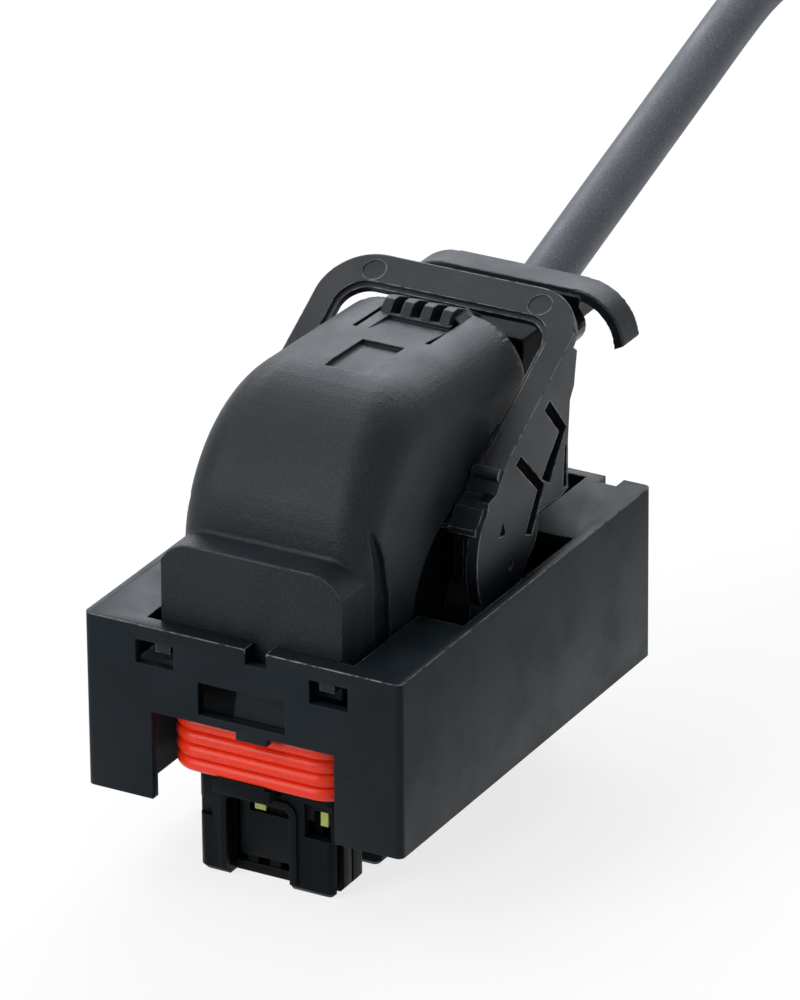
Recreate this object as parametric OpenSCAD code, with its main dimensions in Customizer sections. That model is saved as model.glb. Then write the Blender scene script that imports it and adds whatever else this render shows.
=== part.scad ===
// Lever-locked multi-pole sealed connector, with a wire cover, a bail lever and a sheathed pigtail.
// X is the width, +Y points to the cable end, +Z is up, and the two noses stand on Z = 0.

/* [Outer housing] */
// Width across the side walls
body_w = 50; // [49:0.5:51]
// Length from the front wall to the rear wall
body_l = 73.5; // [73:0.5:75]
// Height of the side walls
body_h = 26.5; // [26:0.5:27]
// Thickness of the side and end walls
wall = 1.5; // [1.2:0.1:1.7]
// Thickness of the deck on top
deck_t = 2.2; // [1.8:0.1:2.4]
// How far the noses reach below the walls
nose_drop = 12.5; // [12:0.5:13]

/* [Noses] */
// Width of each nose
nose_w = 21.6; // [20.8:0.2:21.8]
// Length of the front nose
front_nose_l = 8.9; // [8.8:0.1:9.1]
// Pitch of the terminals in a row
pitch = 3.6; // [3.5:0.1:3.6]
// Pitch of the lips on a radial seal
lip_pitch = 2.1; // [2:0.05:2.15]

/* [Wire cover] */
// Width across the hood
hood_w = 30.2; // [30:0.1:30.4]
// Height of the hood's top above the deck
hood_rise = 31.2; // [30:0.2:31.4]
// Radius of the long top edges
hood_edge_r = 8.5; // [8:0.5:9.5]
// Radius of the upright front corners
hood_corner_r = 4.5; // [4:0.5:6]
// Radius of the front shoulder
shoulder_r = 22; // [20:0.5:24]
// Thickness of the cover's walls
cover_t = 1.6; // [1.4:0.1:1.8]

/* [Lever] */
// Width across the lever's arms
lever_w = 40.8; // [40.4:0.2:41.2]
// Slope of the arms above the deck in degrees
arm_slope = 30.6; // [30:0.2:31.2]
// Length of the arms along their slope
arm_l = 30.8; // [30.4:0.1:31]
// Width of the bar that joins the arms
bar_w = 5.5; // [5:0.1:5.7]
// Radius of the pivot pins
pin_r = 2.4; // [2.2:0.1:2.6]

/* [Cable] */
// Outer diameter of the cable sheath
cable_d = 7.5; // [7:0.1:7.6]
// Slope at which the cable leaves, in degrees
exit_slope = 18.2; // [18:0.1:18.4]

/* [Hidden] */
$fn = 48;
gap = 0.3;                                   // play between pieces that only lie side by side

// outer housing
front_y = -36.25;
rear_y = front_y + body_l;
body_z = nose_drop;
deck_z = body_z + body_h;
body_r = 1;
open_x = 16.4;                               // half width of the deck opening at the front
open_rear_x = 15.4;                          // and behind the lever slots
open_y = [-33.6, rear_y - 1.7];
slot_x = body_w/2 - wall;
slot_y = [-15.6, 16.5];
cut_x = 14.45;                               // half width of the front cut-out
cut_z = body_z + 13.5;
skirt_z = body_z + 3.3;
shelf_z = body_z + 13.6;
shelf_t = 1.2;

// lever and its pivot
pivot_y = 1;
pivot_z = deck_z - 5;
arm_y = 1.6;                                 // low end of the arms' sloping face
arm_z = deck_z + 15.9;
hub_r = 6.2;
plate_t = 1.8;
slot_d = 1.3;
flange_w = 4.2;
pin_play = 0.05;
hub_in_x = 13.8;

// wire cover
hood_x = hood_w/2;
hood_top = deck_z + hood_rise;
hood_front = -28.3;
hood_rear = 19;
cover_z = deck_z - 6;
toe_x = 14.3;
toe_y = -33.3;
toe_z = deck_z + 12.1;
wing_y = [41, 46];
wing_z = deck_z + 26;

// noses and seals
nose_x = nose_w/2;
front_nose = [-30.2, -30.2 + front_nose_l];
rear_nose = [-18.5, 31.5];
seat_z = body_z + 4;                       // underside of the radial seals
seal_h = 4*lip_pitch;
core_x = 7.8;                                // half width of the cores inside the retainers
floor_z = 1.4;                               // floor of the retainers
lip_out = 3.4;                               // how far the lips stand out past a nose
seal_gap = 0.55;                             // and between the two seals, where there is little room

// terminals: [x, y] of each cavity
front_rows = [front_nose[0] + 3.5, front_nose[0] + 6.2];
rear_rows = [-14.2, -9.6];
cols = [-1.5, -0.5, 0.5, 1.5];
front_cav = [for (y = front_rows, c = cols) [c*pitch, y]];
rear_cav = [for (y = rear_rows, c = cols) [c*pitch, y]];
power_cav = [[-5, 6], [5, 6]];
used = [front_cav[1], front_cav[2], front_cav[5], front_cav[6],
        rear_cav[0], rear_cav[3], rear_cav[4], rear_cav[7], rear_cav[5], rear_cav[6]];
spare = [front_cav[0], front_cav[3], front_cav[4], front_cav[7], rear_cav[1], rear_cav[2]];
cav_w = 1.9;
power_cav_w = 6.2;
mat_z = body_z + 16.7;                       // floor of the pockets that hold the wire seals
top_z = body_z + 20.5;                       // top of the inner housing

// wires and cable
signal_d = 1.1;
power_d = 2.2;
cable_r = cable_d/2;
exit_y = 46;                                 // where the cable leaves the cover
exit_z = deck_z + 19.2;
sheath_y = 24;                               // the sheath's end inside the cover
sheath_start = [0, sheath_y, exit_z - (exit_y - sheath_y)*tan(exit_slope)];
signal_lay = [[-0.6, 2.45], [0.6, 2.45], [-0.6, 1.3], [0.6, 1.3], [-1.8, 1.3], [1.8, 1.3],
              [-1.8, 0.15], [1.8, 0.15], [-0.6, 0.15], [0.6, 0.15]];
power_lay = [[-1.15, -1.5], [1.15, -1.5]];
// the cable's own route from the cover to the floor
route = [[0, 24, 51], [0, 46, 58.2], [0, 70, 66.1], [0, 95, 74.3], [0, 112, 79.8], [0, 120, 81.6],
         [0, 128, 82], [0, 136, 80.6], [0, 144, 77], [0, 151, 71], [0, 157, 63.5], [0, 163, 54.5],
         [0, 169, 45], [0, 175, 35.5], [0, 181, 26.6], [0, 187, 18.9], [0, 194, 12], [0, 202, 7],
         [0, 211, 4.4], [0, 220, 3.8], [0, 228, 3.8]];
tail_l = 20;

// ---------- shared shapes ----------

// Flat plate outline with round corners, centred
module round_rect(w, l, r) {
  square([w - 2*r, l], center = true);
  square([w, l - 2*r], center = true);
  for (x = [-1, 1], y = [-1, 1]) translate([x*(w/2 - r), y*(l/2 - r)]) circle(r);
}

// The same outline between two Y values, extruded between two Z values
module round_block(w, y, z, r)
  translate([0, (y[0] + y[1])/2, z[0]]) linear_extrude(z[1] - z[0]) round_rect(w, y[1] - y[0], r);

// A box between two corners
module box(a, b) translate(a) cube(b - a);

// The same box on both sides of the centre plane
module pair(a, b) {
  box(a, b);
  box([-b[0], a[1], a[2]], [-a[0], b[1], b[2]]);
}

// A drawing in Y and Z, extruded along X on both sides from x[0] to x[1]
module both_sides(x)
  for (side = [x[0], -x[1]]) translate([side, 0, 0]) rotate([90, 0, 90]) linear_extrude(x[1] - x[0])
    children();

// A drawing in Y and Z, extruded across the centre plane
module across(x)
  translate([-x, 0, 0]) rotate([90, 0, 90]) linear_extrude(2*x) children();

// Points of an arc about c, from angle a to angle b in n steps
function arc(c, r, a, b, n) = [for (i = [0:n]) c + r*[cos(a + (b - a)*i/n), sin(a + (b - a)*i/n)]];

// Tube with round sections swept along points p
function unit(v) = v/norm(v);
function tangent(p, i) = unit(p[min(i + 1, len(p) - 1)] - p[max(i - 1, 0)]);
function ring(p, i, r, n) = let(t = tangent(p, i), s = abs(t[0]) > 0.9 ? [0, 1, 0] : [1, 0, 0],
  u = unit(cross(t, s)), v = cross(t, u)) [for (k = [0:n - 1]) p[i] + r*(cos(360*k/n)*u + sin(360*k/n)*v)];
module sweep(p, r, n) {
  m = len(p);
  points = [for (i = [0:m - 1]) each ring(p, i, r, n)];
  sides = [for (i = [0:m - 2], k = [0:n - 1])
    [i*n + k, i*n + (k + 1)%n, (i + 1)*n + (k + 1)%n, (i + 1)*n + k]];
  polyhedron(points, concat(sides, [[for (k = [n - 1:-1:0]) k], [for (k = [0:n - 1]) (m - 1)*n + k]]));
}

// Smooth curve through points p, with n steps between each two
function mix(a, b, c, d, t) = 0.5*(2*b + (c - a)*t + (2*a - 5*b + 4*c - d)*t*t + (3*b - a - 3*c + d)*t*t*t);
function smooth(p, n) = let(m = len(p) - 1) concat([for (i = [0:m - 1], k = [0:n - 1])
  mix(p[max(i - 1, 0)], p[i], p[i + 1], p[min(i + 2, m)], k/n)], [p[m]]);

// ---------- outer housing ----------

module deck_opening() {
  box([-open_x, open_y[0], deck_z - deck_t - 1], [open_x, slot_y[1], deck_z + 1]);
  box([-open_rear_x, slot_y[0], deck_z - deck_t - 1], [open_rear_x, open_y[1], deck_z + 1]);
  pair([open_x - 1, slot_y[0], deck_z - deck_t - 1], [slot_x, slot_y[1], deck_z + 1]);
}

module front_windows() {
  pair([10.75, front_y - 1, deck_z - 5.9], [16.75, front_y + wall + 0.2, deck_z - 2.3]);
  box([0.7, front_y - 1, deck_z - 2.3], [4, open_y[0] + 1, deck_z + 1]);
  box([-6.9, front_y - 1, deck_z - 11.7], [6.8, front_y + wall + 0.2, deck_z - 6.75]);
}

module outer_housing() color("#2b2c2f") {
  difference() {
    round_block(body_w, [front_y, rear_y], [body_z, deck_z], body_r);
    box([-slot_x, front_y + wall, body_z - 1], [slot_x, rear_y - wall, deck_z - deck_t]);
    deck_opening();
    front_windows();
    box([-cut_x, front_y - 1, body_z - 1], [cut_x, front_y + wall + 1, cut_z]);
    pair([17.7, rear_y - 2.4, deck_z - 3], [20.6, rear_y + 1, deck_z + 1]);
  }
  // inner skirt walls, hung from a shelf below the lever slots
  pair([cut_x, front_y + wall - 0.2, skirt_z], [cut_x + wall, rear_y - wall + 0.2, shelf_z + shelf_t]);
  pair([cut_x, front_y + wall - 0.2, shelf_z], [slot_x + 0.2, rear_y - wall + 0.2, shelf_z + shelf_t]);
  // sloping slab behind the front pocket, and the tab that hangs from its lower edge
  translate([-2.1, front_y, 0]) rotate([90, 0, 90]) linear_extrude(8.9)
    polygon([[wall - 0.1, cut_z - 0.2], [wall - 0.1, cut_z + 1.6], [wall + 1.1, deck_z - 6.6],
             [wall + 2.1, deck_z - 6.6], [wall + 2.1, cut_z - 0.2]]);
  box([-1.1, front_y + 0.2, cut_z - 1.3], [3.8, front_y + wall - 0.1, cut_z + 0.2]);
}

// ---------- inner housing ----------

// Row of square cavities between two Z values
module cavities(places, w, z)
  for (c = places) box([c[0] - w/2, c[1] - w/2, z[0]], [c[0] + w/2, c[1] + w/2, z[1]]);

module inner_housing() color("#242528") difference() {
  union() {
    // upper body on the shelf, with the ears that carry the pivot pins
    box([-13.4, -31.2, shelf_z + shelf_t + gap], [13.4, 31.2, top_z]);
    box([-12.4, -31.2, cut_z - 0.4], [12.4, 32.6, shelf_z + shelf_t + 1]);
    // lugs that rest on the shelf
    for (y = [[-31.2, -16.8], [17.8, 31.2]])
      pair([13, y[0], shelf_z + shelf_t], [15.5, y[1], shelf_z + shelf_t + 2]);
    both_sides([12, 13.4]) {
      translate([pivot_y, pivot_z]) circle(5);
      translate([pivot_y - 5, top_z - 1]) square([10, pivot_z - top_z + 1]);
    }
    for (s = [-1, 1]) translate([s*12.5, pivot_y, pivot_z]) rotate([0, s*90, 0]) cylinder(r = pin_r, h = 7.4);
    // noses: a collar under each seal, and a core that the retainer clips over
    round_block(nose_w + 2, front_nose + [-1, 1], [seat_z, cut_z], 3);
    round_block(nose_w + 3.2, rear_nose + [-0.4, 0.4], [seat_z, cut_z], 3);
    box([-core_x, front_nose[0] + 2.25, floor_z], [core_x, front_nose[1] - 1.4, seat_z + 1]);
    box([-core_x - 0.6, rear_nose[0] + 2.7, floor_z], [core_x + 0.6, rear_nose[1] - 2.3, seat_z + 1]);
  }
  // core-out of the rear nose
  box([-core_x + 1, 12.5, 0], [core_x - 1, rear_nose[1] - 4, cut_z - 2]);
  // foot cut back behind the front retainer's recess
  box([-6.4, front_nose[0], 0], [4.3, front_nose[0] + 2.6, 3.4]);
  // slot beside the retainer's panel
  box([-6, front_nose[0], 0], [-4.9, front_nose[0] + 4.6, recess_z + 1]);
  // pockets for the wire seals, and the cavities through both noses
  box([-9.4, -30, mat_z], [9.4, -20.5, top_z + 1]);
  box([-10.6, -17, mat_z], [10.6, 12, top_z + 1]);
  cavities(concat(front_cav, rear_cav), cav_w, [0, mat_z + 1]);
  cavities(power_cav, power_cav_w, [0, mat_z + 1]);
}

// ---------- retainers, seals and spacers on the noses ----------

// Shell that clips over a nose's core: closed below with rounded edges, and with pin entries
module nose_shell(w, y, x_core, places, w_pin) difference() {
  union() {
    round_block(w, y, [0.8, seat_z - 0.1], 1.2);
    hull() {
      round_block(w, y, [0.7, 0.9], 1.2);
      round_block(w - 1.2, y + [0.6, -0.6], [0, 0.1], 0.8);
    }
  }
  box([-x_core, y[0] + 1.55, floor_z], [x_core, y[1] - 1.15, seat_z + 1]);
  cavities(places, w_pin, [-1, 2]);
}

// Upright outline in X and Z with round top corners, extruded between two Y values
module arch(x, z, r, y)
  translate([0, y[1], 0]) rotate([90, 0, 0]) linear_extrude(y[1] - y[0])
    polygon(concat([[x[1], z[0]]], arc([x[1] - r, z[1] - r], r, 0, 90, 6), arc([x[0] + r, z[1] - r], r, 90, 180, 6), [[x[0], z[0]]]));

recess_x = [-6.1, 4];                        // arched recess in the front of the front retainer
recess_z = 12.6;
panel_z = [3.2, 10.2];
module front_retainer() color("#222326") {
  f = front_nose[0];
  difference() {
    union() {
      nose_shell(nose_w, front_nose, nose_x - 1.6, front_cav, 1.4);
      // bead along the arch
      arch(recess_x + [-1.2, 1.1], [1.1, recess_z + 1.1], 1.9, [f - 0.5, f + 0.3]);
      // shoulder with a lip over the seal's lower edge
      box([-6.3, f - 3.5, seat_z - 2], [2.6, f + 0.3, seat_z - 0.1]);
      box([-5.6, f - 3.5, seat_z - 0.2], [2, f - 3.1, seat_z + 0.35]);
    }
    arch(recess_x, [-1, recess_z], 0.9, [f - 2, f + 1.7]);
    box([recess_x[0], f - 1, -1], [recess_x[1], f + 2.4, panel_z[0]]);
    // windows at the spacer's latches
    box([6.2, f - 1, 8.8], [nose_x - 0.4, f + 2, 14.1]);
    box([-nose_x - 1, f - 1, 8.6], [-8.5, f + 1, 11.3]);
    // side grooves
    box([nose_x - 1.1, f + 0.9, -1], [nose_x + 1, f + 2.9, seat_z + 1]);
    box([-nose_x - 1, f + 1.6, -1], [-nose_x + 1.1, f + 2.9, seat_z + 1]);
    pair([nose_x - 0.7, f + 5, -1], [nose_x + 1, f + 5.5, seat_z + 1]);
  }
  // set-back panel with a window over its upper part, and a deep slot on its left
  box([-4.8, f + 1.4, panel_z[0]], [recess_x[1] + 0.6, f + 2, panel_z[1]]);
  box([-4.8, f + 1.4, panel_z[1] - 1], [-3.3, f + 2, recess_z + 0.5]);
  box([2.9, f + 1.4, panel_z[1] - 1], [recess_x[1] + 0.6, f + 2, recess_z + 0.5]);
  // web in the right window's upper corner
  box([5.9, f + 0.9, 11.2], [7.3, f + 1.5, 14.4]);
  box([5.9, f + 0.9, 12.9], [nose_x - 0.1, f + 1.5, 14.4]);
}

module rear_retainer() color("#222326") difference() {
  nose_shell(nose_w + 1.2, rear_nose, nose_x - 1.5, rear_cav, 1.4);
  cavities(power_cav, 4.4, [-1, 2]);
  // side grooves that guide the mating part
  for (y = [-12, 2, 16, 26]) pair([nose_x - 0.5, y, -1], [nose_x + 2, y + 2, seat_z + 1]);
}

// Radial seal round a collar: a sleeve with rounded lips, which stand out by ends[0] at the front
// and ends[1] at the rear
module radial_seal(w, y, out, ends, $fn = 24) {
  lap = [-ends[0], ends[1]];
  difference() {
    union() {
      round_block(w + 1.16*out, y + 0.58*lap, [seat_z, seat_z + seal_h], 3.6);
      for (i = [0:3]) translate([0, 0, seat_z + (i + 0.5)*lip_pitch]) hull() {
        round_block(w + 2*out, y + lap, [-0.3, 0.3], 5);
        round_block(w + 1.42*out, y + 0.71*lap, [-0.9, 0.9], 4.4);
      }
    }
    round_block(w, y, [seat_z - 1, seat_z + seal_h + 1], 3, $fn = 48);
  }
}

module front_seal() color("#eb3c19")
  radial_seal(nose_w + 2, front_nose + [-1, 1], lip_out - 1, [lip_out - 1, seal_gap]);

module rear_seal() color("#eb3c19")
  radial_seal(nose_w + 3.2, rear_nose + [-0.4, 0.4], 1.3, [seal_gap, 1.3]);

// Clip that slides over a nose's core from the front and locks the terminals
module spacer_clip(x_out, x_in, y0, y1) {
  box([-x_out, y0, seat_z - 2], [x_out, y0 + 0.5, seat_z]);
  pair([x_in, y0, seat_z - 2], [x_out, y1, seat_z]);
}
module front_spacer() color("#8aa33c") {
  spacer_clip(nose_x - 1.75, core_x + 0.1, front_nose[0] + 1.65, front_nose[1] - 1.4);
  // latches that show in the windows
  box([-2.6, front_nose[0] + 1.65, 10.5], [-0.9, front_nose[0] + 2.15, seat_z - 1.9]);
  box([7.9, front_nose[0] + 1.65, 10.3], [nose_x - 1.75, front_nose[0] + 2.15, seat_z - 1.9]);
}
module rear_spacer() color("#8aa33c")
  spacer_clip(nose_x - 1.75, core_x + 0.7, rear_nose[0] + 1.65, 20);

// ---------- wire seals, terminals and wires ----------

module front_wire_seal() color("#c9502c") difference() {
  box([-9.2, -29.8, mat_z], [9.2, -20.7, mat_z + 2.6]);
  cavities(front_cav, 1.3, [mat_z - 1, mat_z + 4]);
}
module rear_wire_seal() color("#c9502c") difference() {
  box([-10.4, -16.8, mat_z], [10.4, 11.8, mat_z + 2.6]);
  cavities(rear_cav, 1.3, [mat_z - 1, mat_z + 4]);
  cavities(power_cav, 2.6, [mat_z - 1, mat_z + 4]);
}
module seal_cover() color("#242528") difference() {
  union() {
    box([-9.2, -29.8, mat_z + 2.6], [9.2, -20.7, top_z + 0.5]);
    box([-10.4, -16.8, mat_z + 2.6], [10.4, 11.8, top_z + 0.5]);
    box([-9.2, -29.8, top_z], [9.2, 11.8, top_z + 0.5]);
  }
  cavities(concat(front_cav, rear_cav), 1.6, [mat_z, top_z + 2]);
  cavities(power_cav, 3, [mat_z, top_z + 2]);
}

module signal_terminals() color("#c9a45a") for (c = used) {
  box([c[0] - 0.75, c[1] - 0.75, 3], [c[0] + 0.75, c[1] + 0.75, 12]);
  translate([c[0], c[1], 11.9]) cylinder(d = 1.4, h = 5, $fn = 16);
}
module power_terminals() color("#c9a45a") for (c = power_cav) {
  box([c[0] - 2.6, c[1] - 1.6, 3], [c[0] + 2.6, c[1] + 1.6, 14]);
  translate([c[0], c[1], 13.9]) cylinder(d = 3.2, h = 5, $fn = 24);
}
module cavity_plugs() color("#d8d4c8") for (c = spare)
  box([c[0] - 0.6, c[1] - 0.6, mat_z - 4], [c[0] + 0.6, c[1] + 0.6, top_z + 1.5]);

// Wire from its terminal to its place in the bundle at the sheath's end
function in_bundle(q) = sheath_start + [q[0], -q[1]*sin(exit_slope), q[1]*cos(exit_slope)];
function mix2(a, b, t) = a + (b - a)*t;
function wire_path(c, q, z0, top) = let(e = in_bundle(q), back = [0, cos(exit_slope), sin(exit_slope)])
  [[c[0], c[1], z0], [c[0], c[1], top_z + 2], [c[0], c[1] + 1.5, top - 2.5], [mix2(c[0], q[0], 0.25), c[1] + 5, top],
   [mix2(c[0], q[0], 0.8), mix2(c[1] + 5, e[1] - 7, 0.7), mix2(top, e[2] - 2, 0.7)], e - 5*back, e - gap*back];
signal_top = [17, 17, 14, 14, 10.5, 10.5, 7, 7, 3.6, 3.6];
module signal_wires() color("#3c6ea0") for (i = [0:len(used) - 1])
  sweep(smooth(wire_path(used[i], signal_lay[i], 17.2, top_z + signal_top[i]), 2), signal_d/2, 6);
module power_wires() color("#a03030") for (i = [0, 1])
  sweep(smooth(wire_path(power_cav[i], power_lay[i], 19.2, top_z + 6), 2), power_d/2, 8);

// ---------- wire cover ----------

// Domed hood, drawn inset by t on every side: balls along the shoulder, growing towards the top
module hood_form(t) {
  cy = hood_front + shoulder_r;
  cz = hood_top - shoulder_r;
  rear = hood_rear - t;
  hull() {
    for (a = [0:15:90]) let (r = hood_corner_r + (hood_edge_r - hood_corner_r)*a/90, k = shoulder_r - r)
      for (s = [-1, 1]) translate([s*(hood_x - r), cy - k*cos(a), cz + k*sin(a)]) sphere(r = r - t, $fn = 32);
    for (s = [-1, 1]) {
      translate([s*(hood_x - hood_corner_r), hood_front + hood_corner_r, cover_z - t])
        cylinder(r = hood_corner_r - t, h = cz - cover_z, $fn = 32);
      translate([s*(hood_x - hood_edge_r), rear, hood_top - hood_edge_r - 1]) rotate([90, 0, 0])
        cylinder(r = hood_edge_r - t, h = 1, $fn = 32);
    }
    box([-hood_x + t, cy, cover_z - t], [hood_x - t, rear, cz]);
  }
}

// Toe in front of the hood, with round top corners
toe_r = 5.4;
toe_flat = 9.4;
module toe() translate([0, hood_front + 3, 0]) rotate([90, 0, 0]) linear_extrude(hood_front + 3 - toe_y)
  polygon(concat([[toe_x, cover_z], [toe_x, toe_z - toe_r*(1 - cos(62))]],
                 arc([toe_flat, toe_z - toe_r], toe_r, 30, 90, 5), arc([-toe_flat, toe_z - toe_r], toe_r, 90, 150, 5),
                 [[-toe_x, toe_z - toe_r*(1 - cos(62))], [-toe_x, cover_z]]));

module neck(t) hull() {
  box([-11.5 + t, hood_rear - 4, deck_z + 4 + t], [11.5 - t, hood_rear - 3, hood_top - 10 - t]);
  box([-11.5 + t, wing_y[0] - 1, exit_z - 4.5 + t], [11.5 - t, wing_y[0], wing_z - 2.8 - t]);
}

// Wings of the cable exit: one curved plate with curled ends
module wings() translate([0, wing_y[1], 0]) rotate([90, 0, 0]) linear_extrude(wing_y[1] - wing_y[0])
  polygon(concat(arc([10.5, wing_z - 8], 8, 90, 5, 8), arc([10.5, wing_z - 8], 6.4, -1, 90, 8),
                 arc([-10.5, wing_z - 8], 6.4, 90, 181, 8), arc([-10.5, wing_z - 8], 8, 175, 90, 8)));

rib_x = [-5, -1.9, 1.2, 4.3];                // left face of each rib on the latch tongue
tongue_y = [5.6, 12.2];                      // dip in front of the ribs
plate_x = [-2, 4.7];                         // bare recessed plate
plate_y = [-8.5, 2.2];
module thumb_ribs() {
  for (x = rib_x) translate([x, 0, 0]) rotate([90, 0, 90]) linear_extrude(1.5)
    polygon([[12.6, hood_top - 2.1], [12.6, hood_top - 0.8], [13.3, hood_top + 0.1], [14.1, hood_top + 0.75],
             [15.4, hood_top + 0.75], [16.4, hood_top + 0.35], [17.5, hood_top - 0.12], [19, hood_top - 0.8],
             [20.6, hood_top - 1.75], [22.2, hood_top - 2.75], [22.2, hood_top - 5], [17.7, hood_top - 5], [17.7, hood_top - 2.4]]);
  // wedge beside the last rib
  translate([0, 18.4, 0]) rotate([90, 0, 0]) linear_extrude(3.9)
    polygon([[5.7, hood_top - 2], [5.7, hood_top - 0.3], [7.1, hood_top - 1.5], [7.1, hood_top - 2]]);
}

// What is cut from the hood's sloping top: slots beside the latch tongue, the dip and the trough for
// its ribs, and the recessed plate
module latch_cuts() {
  box([-5.8, tongue_y[0] + 0.3, hood_top - 4], [-5.1, 17, hood_top + 2]);
  box([6.3, tongue_y[0] - 0.6, hood_top - 4], [7, 17.3, hood_top + 2]);
  translate([-3.3, 0, 0]) rotate([90, 0, 90]) linear_extrude(9.9)
    polygon([[tongue_y[0], hood_top - 0.45], [tongue_y[1], hood_top - 1.35], [tongue_y[1], hood_top + 3], [tongue_y[0], hood_top + 3]]);
  box([-5.4, tongue_y[1] + 0.7, hood_top - 1.9], [6.6, 17.6, hood_top + 3]);
  translate([plate_x[0], 0, 0]) rotate([90, 0, 90]) linear_extrude(plate_x[1] - plate_x[0])
    polygon([[plate_y[0], hood_top - 0.6], [plate_y[1], hood_top - 0.95], [plate_y[1], hood_top + 3], [plate_y[0], hood_top + 3]]);
}

module wire_cover() color("#303134") {
  difference() {
    union() {
      hood_form(0);
      toe();
      neck(0);
      wings();
      box([-11.5, hood_rear + 5, wing_z - 4.6], [11.5, wing_y[1], wing_z - 1]);
    }
    hood_form(cover_t);
    neck(cover_t);
    box([-toe_x + cover_t, toe_y + cover_t, cover_z - 1], [toe_x - cover_t, hood_front + 8, toe_z - 2]);
    // open underside of the cable channel
    box([-11.5 + cover_t, hood_rear + 4.4, deck_z], [11.5 - cover_t, wing_y[1] + 1, exit_z]);
    box([-12, hood_rear + 4.4, deck_z], [12, wing_y[1] + 1, wing_z - 5.2]);
    // way through for the cable under the wings
    translate([0, exit_y, exit_z]) rotate([90 - exit_slope + 180, 0, 0]) translate([0, 0, -20]) cylinder(r = cable_r + 0.4, h = 50);
    // groove for the cable tie
    translate([0, tie_y[1] + 0.2, 0]) rotate([90, 0, 0]) linear_extrude(tie_y[1] - tie_y[0] + 0.4) difference() {
      translate([-13, wing_z - 7]) square([26, 10]);
      tie_loop(-0.2);
    }
    // grooves between the toe and the cheeks
    both_sides([hood_x - 1.2, hood_x + 1])
      polygon([[-25.1, cover_z - 1], [-25.1, deck_z + 17.8], [-22.6, deck_z + 11], [-21.3, deck_z + 5], [-20.8, cover_z - 1]]);
    // pockets that clear the lever's hubs, and notches for the pivot ears
    both_sides([13.5, hood_x + 1]) translate([pivot_y, pivot_z]) circle(16.3);
    both_sides([11.7, hood_x + 1]) {
      translate([pivot_y, pivot_z]) circle(5.4);
      translate([pivot_y - 5.4, cover_z - 1]) square([10.8, pivot_z - cover_z + 1]);
    }
    latch_cuts();
  }
  // walls behind the hub pockets
  difference() {
    both_sides([12, 13.5]) intersection() {
      translate([pivot_y, pivot_z]) circle(16.8);
      translate([-16, cover_z]) square([34, 18]);
    }
    both_sides([11, 14]) {
      translate([pivot_y, pivot_z]) circle(5.4);
      translate([pivot_y - 5.4, cover_z - 1]) square([10.8, pivot_z - cover_z + 1]);
    }
  }
  thumb_ribs();
  // hooks in the housing's front windows
  pair([11.8, toe_y - 1.9, deck_z - 4.1], [14.1, toe_y + 1, deck_z - 2.7]);
}

// ---------- lever ----------

// Outline of the U-shaped face, with arms w0 apart outside, corners of radius r, and its top at l
module u_outline(w, l, r) {
  translate([-w/2, -0.01]) square([w, l - r + 0.01]);
  translate([-w/2 + r, 0]) square([w - 2*r, l]);
  for (s = [-1, 1]) translate([s*(w/2 - r), l - r]) circle(r);
}
module u_frame(inner_w, bar, r_in, z0, z1)
  translate([0, arm_y, arm_z]) rotate([arm_slope, 0, 0]) translate([0, 0, z0]) linear_extrude(z1 - z0)
    difference() {
      u_outline(lever_w, arm_l, 8);
      translate([0, -1]) u_outline(inner_w, arm_l - bar + 1, r_in);
    }

side_face = concat([[2.2, deck_z + 15.95], [21.2, deck_z + 27.2], [23.4, deck_z + 25.5], [22.5, deck_z + 20.5],
  [21.3, deck_z + 18.7], [20.7, deck_z + 12.8], [20.7, deck_z + 5.5], [18.6, deck_z + 5], [12, deck_z + 5.2],
  [11.7, deck_z + 2.4], [10.6, deck_z + 0.6], [8.5, deck_z - 0.8], [6.7, deck_z - 2.6], [1, deck_z - 6]],
  arc([8, deck_z + 3.5], 14, 214, 155, 6), [[-3, deck_z + 10.8], [-2.5, deck_z + 12.4], [-0.2, deck_z + 12.8]]);
inner_web = [[-1.1, deck_z - 1], [-1.1, deck_z + 8.4], [-5.5, deck_z + 8.4], [-5.5, deck_z + 9.3], [-4.4, deck_z + 10.1],
  [-3.2, deck_z + 11.6], [-0.4, deck_z + 12.4], [1.2, deck_z + 14.6], [9, deck_z + 19], [10, deck_z + 15],
  [6, deck_z + 9], [6, deck_z - 1]];
tooth = [[-0.7, deck_z - 1], [-0.7, deck_z + 8.6], [-5, deck_z + 8.6], [-5, deck_z + 9.2], [-4.3, deck_z + 9.8],
  [-1.6, deck_z + 9.8], [3.4, deck_z + 8], [3.6, deck_z - 1]];
bent_slot_low = [[5.3, deck_z + 15.1], [6.9, deck_z + 15.9], [13.7, deck_z + 8.9], [10, deck_z + 2.6],
  [8, deck_z + 3.4], [11.6, deck_z + 8.8]];
bent_slot_high = [[13.7, deck_z + 20.1], [15.4, deck_z + 21], [20.3, deck_z + 15.1], [15.2, deck_z + 8.4],
  [12.8, deck_z + 10], [18, deck_z + 15.2]];
rear_slot = [[19.8, deck_z + 12.4], [20.3, deck_z + 12.4], [20.3, deck_z + 6], [19.2, deck_z + 6]];

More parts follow.
